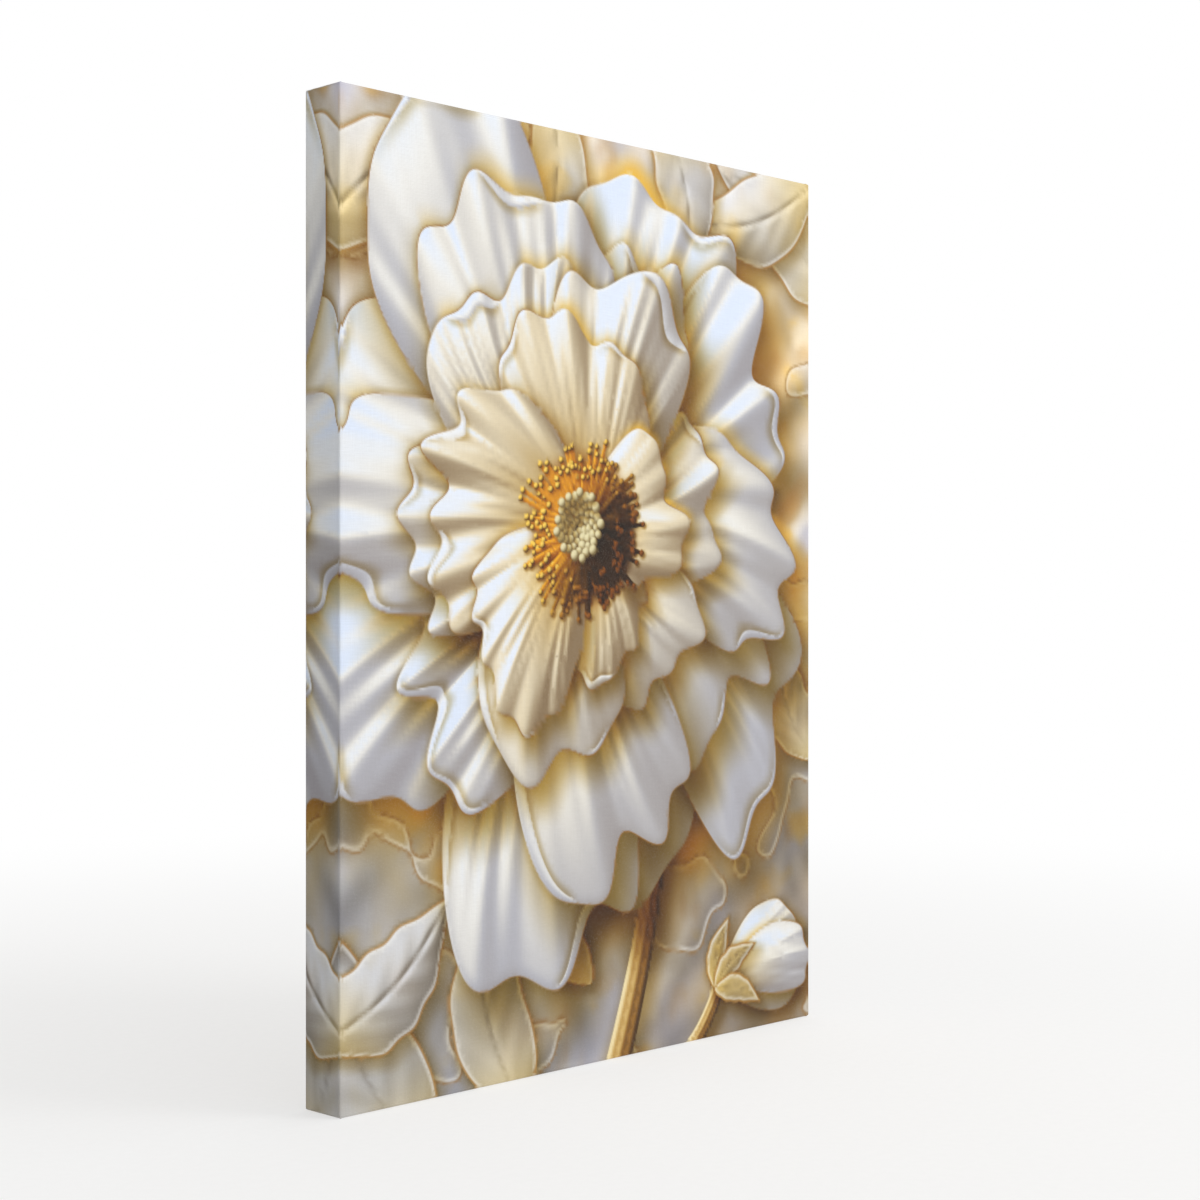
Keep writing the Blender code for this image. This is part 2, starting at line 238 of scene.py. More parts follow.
class Leaf:
    """A pointed leaf with a midrib and side ribs, bent to one side."""

    def __init__(self, rng, base, turn, length, half_width, bend):
        self.base, self.turn, self.length = np.array(base), turn, length
        self.half_width, self.bend = half_width, bend
        self.edge = waves(rng, 3, 3, 8)

    def place(self, points):
        offset = points - self.base
        along = offset @ unit(self.turn) / self.length
        across = offset @ unit(self.turn + math.pi / 2)
        return along, across - self.bend * self.length * np.sin(math.pi * np.clip(along, -0.2, 1.2))

    def width_at(self, along):
        along = np.clip(along, 0, 1)
        wavy = 1 + 0.06 * wave_sum(self.edge, along * 4)
        return self.half_width * np.sin(math.pi * along**0.75) ** 0.9 * wavy

    def inside(self, points):
        along, across = self.place(points)
        past_end = np.maximum(np.maximum(-along, along - 1), 0) * self.length
        beside = (self.width_at(along) - np.abs(across)) * 0.9
        return np.where(past_end > 0, -np.hypot(past_end, across), beside)

    def relief(self, points):
        along, across = self.place(points)
        share = across / np.maximum(self.width_at(along), 2)
        ribs = np.sin((np.abs(across) / self.length - along * 0.75) * 44)
        midrib = 0.04 * bell(across, 0.05 * self.half_width + 1.0)
        height = 0.22 * (1 - share**2) + 0.05 * share - midrib
        height += 0.012 * ribs * (1 - np.abs(np.clip(share, -1, 1)))
        return self.half_width * height, along


def slopes(shape, points):
    return gradient(lambda at: shape.relief(at)[0], points)[1]


def light_on(slope):
    """How directly the light falls on a surface with this slope."""
    return (LIGHT[2] - slope @ LIGHT[:2]) / np.sqrt(1 + (slope**2).sum(axis=1))


def cast_shadow(colour, share):
    return colour * (1 - share[:, None] * SHADOW)


def under_petal(petal, here, under, inside, way_out):
    """A petal's soft shadow to its lower right, a thin one all round it, and here and there a warm glow."""
    size = petal.length / PETAL_SIZE
    spread, fall = PETAL_SHADOW * size, np.array([11, -14]) * size
    soft = ease(petal.inside(here - fall)[0], -spread, 0.6 * spread) * 0.8
    close = ease(inside, -6 * size, 0.5) * 0.3
    under = cast_shadow(under, 1 - (1 - soft) * (1 - close))
    blaze = ease(inside, -17 * size, 0) * ease(way_out @ [0.3, 0.95], 0.3, 0.95)
    return mix(under, GLOW, blaze * petal.glow * (0.5 + 0.5 * np.sin(here @ [0.045, 0.03])))


def petal_colour(petal, here, edge, way_out, yellow, warm):
    """The petal's own colours at points this far inside its outline."""
    size = petal.length / PETAL_SIZE
    _, out = petal.relief(here)
    _, angle = petal.polar(here)

    # The rim rolls down a little all along, and here and there it is turned right over.
    width = petal.lip_width(angle)
    rolled = ease(width - edge, -0.9, 0.9) * ease(width, 1.0, 4.0)
    across_lip = np.clip(edge / np.maximum(width, 1), 0, 1)
    slope = slopes(petal, here)
    slope -= way_out * (0.6 * bell(edge, 4 * size))[:, None]
    lip_slope = way_out * (1.5 * across_lip - 0.95)[:, None] + 0.35 * slope
    lit = light_on(slope + (lip_slope - slope) * rolled[:, None])

    # Cool where it is bright, lilac and warm where it is dim, and yellow and dark towards the base
    body = ramp(lit, PETAL_LIT, PETAL_COLOURS)
    body = mix(body, LILAC, ease(0.88 - lit, 0, 0.45) * ease(out, 0.35, 0.85) * (0.72 - warm))
    body = mix(body, COOL, ease(lit, 0.8, 0.99) * (0.75 - 0.5 * warm) * ease(out, 0.3, 0.7))
    base_glow = ease(0.8 - out, 0, 0.75) * (1 - rolled)
    body *= 1 - base_glow[:, None] * (1 - YELLOW) * (yellow * 1.25)
    body *= 1 - (warm * (1 - ease(lit, 0.75, 0.98)) * (1 - rolled))[:, None] * WARMTH
    body *= (1 - 0.62 * ease(0.4 - out, 0, 0.4))[:, None]
    body = cast_shadow(body, ease(width - edge, -9 * size, 0) * (1 - rolled) * ease(width, 1, 6) * 0.42)

    # A bright line along the rim where it faces the light, and a thin gold one
    gilt = (1 - ease(edge, 0.4, 1.5)) * (0.45 + 0.5 * np.sin(7 * angle + 3 * petal.turn))
    facing_light = way_out @ LIGHT[:2]
    body = mix(body, WHITE, (1 - ease(edge, 0.6, 2.4)) * ease(facing_light, -0.2, 0.8) * 0.6)
    away_from_light = (1 - ease(edge, 0.3, 1.4)) * ease(-facing_light, -0.3, 0.6) * 0.7
    return mix(body, OLD_GOLD, np.maximum(gilt, away_from_light))


def paint_petal(points, colour, petal, yellow, warm):
    """yellow says how yellow the petal's base is, and warm how cream its dim parts are."""
    margin = PETAL_SHADOW * (petal.length / PETAL_SIZE)
    reach = length_of(points - petal.base) < petal.reach + margin
    here = points[reach]
    inside, way_out = petal.inside(here)
    under = under_petal(petal, here, colour[reach], inside, way_out)
    cover = ease(inside, -OUTLINE_SOFT, OUTLINE_SOFT)
    on = cover > 0
    body = petal_colour(petal, here[on], inside[on], way_out[on], yellow, warm)
    under[on] = mix(under[on], body, cover[on])
    colour[reach] = under


def paint_leaf(points, colour, leaf, tone, ground):
    """A leaf that takes on some of the ground's colours."""
    reach = length_of(points - leaf.base) < leaf.length * 1.25
    here, under = points[reach], colour[reach]
    inside = leaf.inside(here)
    soft = ease(leaf.inside(here - [4, -6]), -12, 5) * 0.5
    under = cast_shadow(under, 1 - (1 - soft) * (1 - ease(inside, -3, 0.5) * 0.4))

    cover = ease(inside, -OUTLINE_SOFT, OUTLINE_SOFT)
    on = cover > 0
    here, edge = here[on], inside[on]
    lit = light_on(slopes(leaf, here) * 1.2)
    _, along = leaf.relief(here)
    body = ramp(lit, PETAL_LIT, PETAL_COLOURS * tone)
    body = mix(body, COOL, ease(lit, 0.75, 1) * 0.45)
    body = mix(body, ground[reach][on] * (0.45 + 0.72 * lit[:, None]), np.full(len(here), 0.45))
    body = mix(body, YELLOW, ease(0.45 - along, 0, 0.45) * 0.5)
    body = mix(body, WHITE, ease(edge, 0.9, 2.0) * (1 - ease(edge, 2.4, 5.0)) * 0.5)
    body = mix(body, OLD_GOLD * 1.15, (1 - ease(edge, 0.6, 2.2)) * 0.7)
    under[on] = mix(under[on], body, cover[on])
    colour[reach] = under


def paint_rod(points, colour, start, end, start_radius, end_radius, dark, bright):
    """A round rod, lit from its upper left."""
    reach = near(points, np.array([start, end]), 3 * max(start_radius, end_radius) + 2)
    if not reach.any():
        return
    here, under = points[reach], colour[reach]
    along = end - start
    share = np.clip((here - start) @ along / (along @ along), 0, 1)
    offset = here - start - share[:, None] * along
    radius = start_radius + (end_radius - start_radius) * share
    fall = start_radius * np.array([0.8, -0.9])
    under = cast_shadow(under, ease(2.2 * radius - length_of(offset - fall), 0, 1.6 * radius.mean()) * 0.38)
    body = mix(dark, bright, ease(offset @ LIGHT[:2] / radius, -0.7, 0.6))
    colour[reach] = mix(under, body, ease(radius - length_of(offset), -0.5, 0.5))


def paint_ball(points, colour, at, radius, dark, bright):
    """A ball, lit from its upper left."""
    reach = np.all(np.abs(points - at) < 2.4 * radius + 1, axis=1)
    here, under = points[reach], colour[reach]
    offset = (here - at) / radius
    under = cast_shadow(under, ease(1.9 - length_of(offset - [0.45, -0.5]), 0, 1.2) * 0.5)
    rise = np.sqrt(np.clip(1 - length_of(offset) ** 2, 0, 1))
    body = mix(dark, bright, ease(offset @ LIGHT[:2] + rise * LIGHT[2], -0.1, 0.95))
    colour[reach] = mix(under, body, ease(1 - length_of(offset), -0.2, 0.2))


def bow(start, end, sag, count=14):
    """Points on a curve from start to end that bows to its left by this share of its length."""
    start, end = np.array(start, float), np.array(end, float)
    share = np.linspace(0, 1, count)[:, None]
    left = np.array([start[1] - end[1], end[0] - start[0]])
    return start + (end - start) * share + left * sag * np.sin(math.pi * share)


def paint_stem(points, colour, start, end, sag, start_radius, end_radius):
    """A gold stem with ribs along it."""
    path = bow(start, end, sag)
    reach = near(points, path, 30)
    here, under = points[reach], colour[reach]
    nearest, offset = np.full(len(here), np.inf), np.zeros_like(here)
    share, side = np.zeros((2, len(here)))
    for number, (first, second) in enumerate(zip(path, path[1:])):
        along = second - first
        part = np.clip((here - first) @ along / (along @ along), 0, 1)
        away = here - first - part[:, None] * along
        closer = length_of(away) < nearest
        nearest[closer], offset[closer] = length_of(away)[closer], away[closer]
        share[closer] = (number + part[closer]) / (len(path) - 1)
        side[closer] = (away @ [-along[1], along[0]] / np.linalg.norm(along))[closer]
    radius = start_radius + (end_radius - start_radius) * share
    under = cast_shadow(under, ease(2.4 * radius - length_of(offset - [5, -6]), 0, 1.8 * radius) * 0.65)
    ribs = 0.2 * np.sin(side / radius * 9)
    shine = ease(offset @ LIGHT[:2] / radius + ribs, -0.85, 0.75)
    body = ramp(shine, STEM_LIT, STEM_COLOURS)
    colour[reach] = mix(under, body, ease(radius - nearest, -0.5, 0.5))


GROUND = np.array([0.88, 0.82, 0.72])
# (size, seed, from, to, share, colour) of the ground's blotches
BLOTCHES = (
    (230, 3, -0.4, 0.5, 1.0, (0.77, 0.78, 0.86)),
    (120, 5, 0.0, 0.9, 0.75, (0.76, 0.61, 0.42)),
    (90, 8, 0.1, 0.9, 0.7, (0.97, 0.96, 0.95)),
    (100, 30, 0.35, 1.0, 0.7, GLOW),
)


def paint_ground(points):
    """Soft relief in cream, lilac and beige, with a glow behind the bloom, without and with gold lines."""
    x, y = points.T
    ground = GROUND
    for size, seed, low, high, share, blotch in BLOTCHES:
        ground = mix(ground, blotch, ease(cloud(points, size, seed), low, high) * share)
    ground = mix(ground, [0.6, 0.49, 0.33], ease(x, 150, 480) * ease(330 - y, 0, 300) * 0.55)
    ground = mix(ground, [0.7, 0.71, 0.76], ease(300 - x, 0, 220) * ease(330 - y, 0, 220) * 0.6)
    ground = mix(ground, [0.86, 0.75, 0.52], ease(x, 200, 480) * ease(y, 330, 520) * 0.4)
    away = length_of((points - HEART + [0, 20]) / [1, 1.15])
    glow = ease(cloud(points, 170, 12), -0.15, 0.65) * bell(away - 222, 42)
    ground = mix(ground, GLOW, glow * 0.85)

    relief, slope = gradient(lambda at: cloud(at, 190, 21), points)
    ground = ground * (0.66 + 0.5 * light_on(slope * 13))[:, None]
    ground = ground * (1 - 0.15 * ease(330 - y, 0, 200))[:, None]
    away = (relief - 0.22) / (length_of(slope) + 0.002)  # from the line, in millimetres
    lined = mix(ground, WHITE, bell(away - 2.2, 1.8) * 0.5)
    return ground, mix(lined, OLD_GOLD, bell(away, 0.9) * 0.55)


def whorl(rng, count, length, half_angle, yellow, warm, cup=0.6, lift=1.0, ruffle=0.12, tilt=0.0):
    """One ring of petals, in the order that they lie on each other: each with its shares of yellow and cream.

    tilt makes the petals longer at the upper left than at the lower right, as in a cup seen from one side.
    """
    petals = []
    start = rng.uniform(0, 2 * math.pi)
    for number in range(count):
        turn = start + 2 * math.pi * number / count + rng.uniform(-0.18, 0.18)
        base = HEART - 10 * unit(turn) + rng.uniform(-9, 9, 2)
        longer = 1 + 0.09 * math.sin(turn) ** 2 + tilt * math.cos(turn - 2.2)
        size = length * rng.uniform(0.88, 1.12) * longer
        spread = half_angle * rng.uniform(0.9, 1.15)
        petals.append((Petal(rng, base, turn, size, spread, ruffle, cup, lift), yellow, warm))
    rng.shuffle(petals)
    return petals


def flower(rng):
    """All petals of the bloom, from the outermost ring to the innermost."""
    return [
        *whorl(rng, 8, 286, 0.56, 0.35, 0.05),
        *whorl(rng, 7, 238, 0.6, 0.5, 0.12, ruffle=0.13),
        *whorl(rng, 6, 186, 0.7, 0.65, 0.3, ruffle=0.13, tilt=0.12),
        *whorl(rng, 5, 138, 0.9, 0.75, 0.6, cup=0.8, lift=1.1, ruffle=0.14, tilt=0.24),
    ]


def paint_heart(points, colour):
    """Gold stamens in three rings round a seeded middle, dark at their foot and shaded at the lower right."""
    rng = np.random.default_rng(7)
    close = length_of(points - HEART) < 95
    here, under = points[close], colour[close]
    offset = here - HEART
    under = mix(under, [0.6, 0.36, 0.08], ease(62 - length_of(offset * [1, 0.94]), 0, 20) * 0.9)
    under = mix(under, BROWN, ease(52 - length_of(offset - [9, -5]), 0, 14) * 0.97)
    for count, foot, tip in ((72, 22, 62), (64, 18, 53), (54, 15, 43)):
        for number in range(count):
            turn = 2 * math.pi * (number + rng.uniform(-0.4, 0.4)) / count
            way = unit(turn) * [1, 1.04]
            sideways = np.array([-way[1], way[0]]) * rng.uniform(-7, 7)
            start, end = HEART + way * foot, HEART + way * tip * rng.uniform(0.78, 1.12) + sideways
            shaded = ease(math.cos(turn + 0.6), -0.5, 0.9)
            bright = STAMEN * (1 - shaded) + AMBER * 0.42 * shaded
            paint_rod(here, under, start, end, 2.3, 1.7, AMBER * (1.0 - 0.88 * shaded), bright)
            bright = POLLEN * (1 - shaded) + AMBER * 0.85 * shaded
            paint_ball(here, under, end, rng.uniform(2.0, 2.8), AMBER * 0.45, bright)
    for number in range(SEEDS):
        away = 24 * math.sqrt((number + 0.5) / SEEDS)
        at = HEART + [-5, 4] + away * unit(number * GOLDEN_TURN) * [1, 1.08]
        paint_ball(here, under, at, rng.uniform(3.3, 4.4), *SEED_COLOURS)
    colour[close] = under


# (base, turn, length, half width, bend, tone) of each leaf
LEAVES = (
    ((80, -40), 2.05, 190, 46, 0.1, 0.93),
    ((-20, 50), 0.65, 150, 36, -0.1, 0.95),
    ((170, -20), 1.8, 170, 38, 0.1, 0.95),
    ((240, 60), 2.00, 140, 26, 0.14, 0.92),
    ((530, 600), 2.55, 180, 42, -0.1, 0.92),
    ((505, 700), 3.45, 170, 38, 0.1, 0.94),
    ((90, 730), -1.25, 200, 42, -0.14, 0.97),
    ((-20, 590), 0.55, 160, 38, 0.12, 0.95),
    ((200, 730), -1.75, 150, 32, 0.12, 0.98),
    ((320, 735), -1.35, 140, 34, 0.1, 0.92),
    ((510, 215), 2.00, 120, 30, 0.12, 0.9),
)


def paint_bud(points, colour, ground):
    """A half-open bud in gold sepals, on its own stem."""
    rng = np.random.default_rng(2)
    at = np.array([388, 42])
    paint_stem(points, colour, (285, -25), at, -0.16, 8, 7)
    for turn, length in ((0.66, 104), (-0.04, 100), (0.3, 116)):
        petal = Petal(rng, at - [4, 2], turn, length, half_angle=0.5, ruffle=0.05, cup=1.0, lift=0.9)
        paint_petal(points, colour, petal, yellow=0.25, warm=0.1)
    for turn in (1.25, 0.55, -0.3):
        sepal = Leaf(rng, at - [8, 4], turn, length=60, half_width=12, bend=0.1)
        paint_leaf(points, colour, sepal, YELLOW * 0.95, ground)


def paint(points):
    """The print's colours at these points, as they look on a screen."""
    rng = np.random.default_rng(PRINT_SEED)
    ground, colour = paint_ground(points)
    for *shape, tone in LEAVES:
        paint_leaf(points, colour, Leaf(rng, *shape), tone, ground)
    paint_stem(points, colour, (262, -25), HEART + [92, -140], -0.04, 14, 9)
    paint_bud(points, colour, ground)
    for petal in flower(rng):
        paint_petal(points, colour, *petal)
    paint_heart(points, colour)
    return np.clip(colour, 0, 1)


# ======== the cloth's mesh
EDGE_ROUND = 1.2  # millimetres, as everything in this part
CLOTH_THICK = 0.5
TURNED_OVER = 26
SHARP_CORNER = 0.25  # the round of a corner that lies flat, so that its points stay apart
RING_STEP = 3.0
SIDE_MARGIN, FRONT_MARGIN = 1.2, 1.4  # between a patch's outline and its first points
CORNER_POINTS = 3
MIRROR_STRETCH = 1.6  # how much more of the front the sides mirror than their own depth
PRINT_BLEED = 9.0  # how far the print runs on behind
NOT_BEHIND = -1.0  # the third value of the sheet attribute, where the cloth isn't on the back
BLANK_COLOUR = [0.85, 0.82, 0.76]
SPAN = np.array([WIDE, TALL])
CORNER = np.array(cloth_low)

# The patches' points: the first spacing, the shares of their cells that are split at each finer one, on
# the front and on a side, and the rows of a rounded corner
SPACING, FRONT_SPLIT, SIDE_SPLIT, SIDE_ROWS = (
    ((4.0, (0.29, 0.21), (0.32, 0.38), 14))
)


def adaptive_points(low, high, split, paint_at):
    """Points of a grid, with their colours, that is split where the colours change most."""
    low, high = np.array(low, float), np.array(high, float)
    fine = 2 ** len(split)
    size = np.maximum(np.round((high - low) / SPACING), 1).astype(int)
    step = (high - low) / (size * fine)
    many = size[1] * fine + 1

    def keys_of(cells, offset):
        return (cells[:, 0] + offset[0]) * many + cells[:, 1] + offset[1]

    def places(keys):
        return low + np.stack([keys // many, keys % many], axis=1) * step

    def grid(count):
        lines = [np.arange(number) * fine for number in count]
        return np.stack(np.meshgrid(*lines, indexing="ij"), axis=-1).reshape(-1, 2)

    cells, keys = grid(size), np.sort(keys_of(grid(size + 1), (0, 0)))
    colours = paint_at(places(keys))
    for level, share in enumerate(split):
        wide = fine // 2**level
        half = wide // 2
        corners = [keys_of(cells, (x, y)) for x in (0, wide) for y in (0, wide)]
        shades = np.stack([colours[np.searchsorted(keys, corner)] for corner in corners])
        change = np.ptp(shades, axis=0).sum(axis=1)
        chosen = cells[np.argsort(-change, kind="stable")[: round(share * size.prod())]]
        parts = [keys_of(chosen, (x, y)) for x in (0, half, wide) for y in (0, half, wide)]
        fresh = np.setdiff1d(np.concatenate(parts), keys)
        keys, colours = np.append(keys, fresh), np.concatenate([colours, paint_at(places(fresh))])
        order = np.argsort(keys, kind="stable")
        keys, colours = keys[order], colours[order]
        cells = np.concatenate([chosen + [x, y] for x in (0, half) for y in (0, half)])
    return places(keys), colours


class ClothMesh:
    """Points and faces in millimetres: X and Z as in the print's plane, and Y from the front to the back."""

    def __init__(self):
        self.points, self.sheet, self.colours, self.faces = [], [], [], []
        self.count = 0

    def add(self, place, depth, flat, colours, past=NOT_BEHIND):
        """Adds points, with where they are on the flat sheet, and returns their numbers."""
        self.points.append(np.column_stack([place[:, 0], np.broadcast_to(depth, len(place)), place[:, 1]]))
        self.sheet.append(np.column_stack([flat, np.full(len(place), past)]))
        self.colours.append(colours)
        self.count += len(place)
        return np.arange(self.count - len(place), self.count)

    def join(self, first, second, closed=True):
        """Quads between two rows of points."""
        quads = np.column_stack([first, np.roll(first, -1), np.roll(second, -1), second])
        self.faces += (quads if closed else quads[:-1]).tolist()

    def fill(self, loop, loop_places, inner, inner_places):
        """Triangles over all that a loop goes round, through the inner points."""
        numbers = np.concatenate([loop, inner])
        places = np.concatenate([loop_places, inner_places])
        edges = [(start, (start + 1) % len(loop)) for start in range(len(loop))]
        _, _, triangles, sources, _, _ = delaunay_2d_cdt(
            [Vector(place) for place in places.tolist()], edges, [], 1, 1e-5
        )
        own = [int(numbers[source[0]]) for source in sources]
        self.faces += [[own[corner] for corner in triangle] for triangle in triangles]

    def build(self, name):
        mesh = bpy.data.meshes.new(name)
        mesh.from_pydata((CORNER + np.concatenate(self.points) * MM).tolist(), [], self.faces)
        colours = linear(np.concatenate(self.colours))
        store(mesh, "print", "FLOAT_COLOR", "color", np.column_stack([colours, np.ones(len(colours))]))
        store(mesh, "sheet", "FLOAT_VECTOR", "vector", np.concatenate(self.sheet) * MM)
        smooth_outwards(mesh)
        mesh.set_sharp_from_angle(angle=math.radians(50))
        return mesh


def smooth_outwards(mesh):
    """Makes the faces of a closed mesh look outwards, and shades them smooth."""
    shape = bmesh.new()
    shape.from_mesh(mesh)
    bmesh.ops.recalc_face_normals(shape, faces=shape.faces)
    shape.to_mesh(mesh)
    shape.free()
    mesh.shade_smooth()


def store(mesh, name, kind, field, values):
    attribute = mesh.attributes.new(name, kind, "POINT")
    attribute.data.foreach_set(field, values.astype(np.float32).ravel())


class Outline:
    """Anchors on the rectangle inside the rounded edges, going round it once, and the way out at each."""

    def __init__(self):
        low, high = np.full(2, EDGE_ROUND), SPAN - EDGE_ROUND
        corners = np.array([low, (high[0], low[1]), high, (low[0], high[1])])
        anchors, ways, self.sides = [], [], []
        for number, (corner, following) in enumerate(zip(corners, np.roll(corners, -1, axis=0))):
            out = (number - 1) * math.pi / 2
            count = round(np.linalg.norm(following - corner) / RING_STEP)
            self.sides.append((len(anchors), len(anchors) + count))
            anchors += list(corner + (following - corner) * np.linspace(0, 1, count + 1)[:, None])
            anchors += [following] * CORNER_POINTS
            ways += [unit(out)] * (count + 1)
            for part in range(1, CORNER_POINTS + 1):
                ways.append(unit(out + math.pi / 2 * part / (CORNER_POINTS + 1)))
        self.anchors, self.ways = np.array(anchors), np.array(ways)
        self.edge = self.anchors + self.ways * EDGE_ROUND


def shrunk(places, inset):
    """These places of the outline, moved inwards by this much at each side."""
    return SPAN / 2 + (places - SPAN / 2) * (1 - inset / (SPAN / 2 - EDGE_ROUND))


def mirrored(edge, ways, unfolded):
    """Where in the print the cloth's colour is, this far past the front's edge."""
    return edge - ways * np.abs(unfolded) * MIRROR_STRETCH


def rise_on_back(places, inwards):
    """How far the turned-over cloth stands proud: down at each staple, and loose towards its cut edge."""
    rise = 0.25 * ease(inwards, 4, 12) + 0.35 * ease(inwards, 16, 26)
    rise += 0.12 * np.sin(places[:, 0] * 0.21 + places[:, 1] * 0.17) * ease(inwards, 8, 24)
    for mark in STAPLES:
        rise -= 0.62 * bell(length_of(places - mark), 9) * ease(inwards, 2, 10)
    return np.clip(rise, -0.1, 0.8)


def add_ring(mesh, outline, reach, depth, unfolded, inset=0.0, past=NOT_BEHIND, blank=False):
    """A ring of points at this reach from the anchors, this far along the cloth from the front's edge."""
    place = shrunk(outline.anchors, inset) + outline.ways * reach
    at = mirrored(outline.edge, outline.ways, unfolded)
    colours = np.tile(BLANK_COLOUR, (len(place), 1)) if blank else paint(at)
    return mesh.add(place, depth, outline.edge + outline.ways * unfolded, colours, past)


def add_corner_columns(mesh, outline, first_ring, last_ring):
    """The rows of the four rounded corners, from front to back. Returns all rows, with -1 for no point."""
    steps = np.arange(CORNER_POINTS + 2)
    columns = np.concatenate([(end + steps) % len(outline.anchors) for _, end in outline.sides])
    grid = np.full((SIDE_ROWS + 1, len(outline.anchors)), -1)
    grid[0], grid[-1] = first_ring, last_ring
    edge, ways = outline.edge[columns], outline.ways[columns]
    for row in range(1, SIDE_ROWS):
        depth = EDGE_ROUND + row / SIDE_ROWS * (DEEP - 2 * EDGE_ROUND)
        grid[row, columns] = mesh.add(edge, depth, edge + ways * depth, paint(mirrored(edge, ways, depth)))
    for upper, lower in zip(grid, grid[1:]):
        for strip in columns.reshape(4, -1):
            mesh.join(upper[strip], lower[strip], closed=False)
    return grid


def add_side(mesh, outline, grid, start, end):
    """One side of the cloth, between the rows of its two corners."""
    origin, way = outline.edge[start], outline.ways[start]
    along_way = (outline.edge[end] - origin) / np.linalg.norm(outline.edge[end] - origin)
    front, back = grid[0, start : end + 1], grid[-1, start : end + 1]
    loop = np.concatenate([front, grid[1:-1, end], back[::-1], grid[1:-1, start][::-1]])
    points = np.concatenate(mesh.points)[loop]
    loop_places = np.column_stack([(points[:, [0, 2]] - origin) @ along_way, points[:, 1]])

    def print_at(places):
        return paint(mirrored(origin + places[:, :1] * along_way, way, places[:, 1:]))

    low, high = loop_places.min(axis=0) + SIDE_MARGIN, loop_places.max(axis=0) - SIDE_MARGIN
    places, colours = adaptive_points(low, high, SIDE_SPLIT, print_at)
    edge, depth = origin + places[:, :1] * along_way, places[:, 1:]
    inner = mesh.add(edge, depth[:, 0], edge + way * depth, colours)
    mesh.fill(loop, loop_places, inner, places)


def add_front(mesh, ring):
    """The front, inside the first ring. It starts at the ring's own depth and is flat from 3 mm in."""
    margin = EDGE_ROUND + FRONT_MARGIN
    places, colours = adaptive_points((margin, margin), SPAN - margin, FRONT_SPLIT, paint)
    rim = np.concatenate(mesh.points)[ring]
    crown = rim[0, 1] * (1 - ease(np.minimum(places, SPAN - places).min(axis=1), 0, 3))
    mesh.fill(ring, rim[:, [0, 2]], mesh.add(places, crown, places, colours), places)


def canvas_cloth():
    """One closed sheet: front, rounded edges, sides, turned-over strips and cut edge, and then its inside."""
    outline, mesh = Outline(), ClothMesh()

    def ring(*place, **options):
        return add_ring(mesh, outline, *place, **options)

    arc = EDGE_ROUND * math.pi / 2
    front_round = [
        ring(EDGE_ROUND * math.sin(turn), EDGE_ROUND * (1 - math.cos(turn)), EDGE_ROUND * turn - arc)
        for turn in np.radians([12, 38, 64, 90])
    ]
    behind = [
        ring(EDGE_ROUND * math.cos(turn), DEEP - EDGE_ROUND * (1 - math.sin(turn)), DEEP + EDGE_ROUND * turn)
        for turn in np.radians([0, 35, 70])
    ]
    for inset in np.linspace(0, TURNED_OVER - EDGE_ROUND, 6):
        past = inset + EDGE_ROUND
        depth = DEEP + rise_on_back(shrunk(outline.anchors, inset), past)
        blank = past > PRINT_BLEED + 6
        behind.append(ring(SHARP_CORNER, depth, DEEP + past, inset, past, blank))
    inner = EDGE_ROUND - CLOTH_THICK
    for place in (
        (SHARP_CORNER, depth - CLOTH_THICK, DEEP + TURNED_OVER + CLOTH_THICK, inset),
        (SHARP_CORNER, DEEP - CLOTH_THICK, DEEP),
        (inner, DEEP - EDGE_ROUND, DEEP - EDGE_ROUND),
        (inner, EDGE_ROUND, EDGE_ROUND),
        (SHARP_CORNER, CLOTH_THICK, 0.0),
    ):
        behind.append(ring(*place, past=TURNED_OVER, blank=True))

    for rings in (front_round, behind):
        for first, second in zip(rings, rings[1:]):
            mesh.join(first, second)
    grid = add_corner_columns(mesh, outline, front_round[-1], behind[0])
    for start, end in outline.sides:
        add_side(mesh, outline, grid, start, end)
    add_front(mesh, front_round[0])
    mesh.faces.append(behind[-1].tolist())
    return mesh.build("canvas_cloth")


# ======== corner folds and frayed edge
FOLD_PROUD = 0.45
FOLD_SUNK = 0.3  # how deep the fold's underside is in the cloth, so that no gap shows
FOLD_WIDE = 34.0  # from the corner to the folded edge, at the back
FOLD_START = 1.4  # behind the front
FOLD_ROWS, BEHIND_ROWS, FOLD_COLUMNS = 12, 10, 12
THREADS, THREAD_RINGS = 170, 6  # loose threads, and the rings of points along each


def fold_stations():
    """Places along a corner fold, from the front over the back edge to the cut edge.

    Each is (out, depth, inset) of the surface, the way that it faces as (out, depth), where the
    fold starts and ends, measured from the corner, and how far along the cloth it is.
    """
    stations = []
    for depth in np.linspace(FOLD_START, DEEP - EDGE_ROUND, FOLD_ROWS):
        stations.append((0.0, depth, 0.0, (1.0, 0.0), 0.9, 1.6 + FOLD_WIDE * depth / DEEP, depth))
    for angle in np.radians([30, 60]):
        out = EDGE_ROUND * (math.cos(angle) - 1)
        depth = DEEP - EDGE_ROUND * (1 - math.sin(angle))
        way = (math.cos(angle), math.sin(angle))
        stations.append((out, depth, 0.0, way, 1.0, 1.6 + FOLD_WIDE, DEEP + out))
    for inset in np.linspace(EDGE_ROUND, TURNED_OVER - 0.4, BEHIND_ROWS):
        starts, ends = max(inset - 0.5, 1.2), 1.8 + FOLD_WIDE + 0.12 * inset
        stations.append((0.0, DEEP, inset, (0.0, 1.0), starts, ends, DEEP + inset))
    return stations


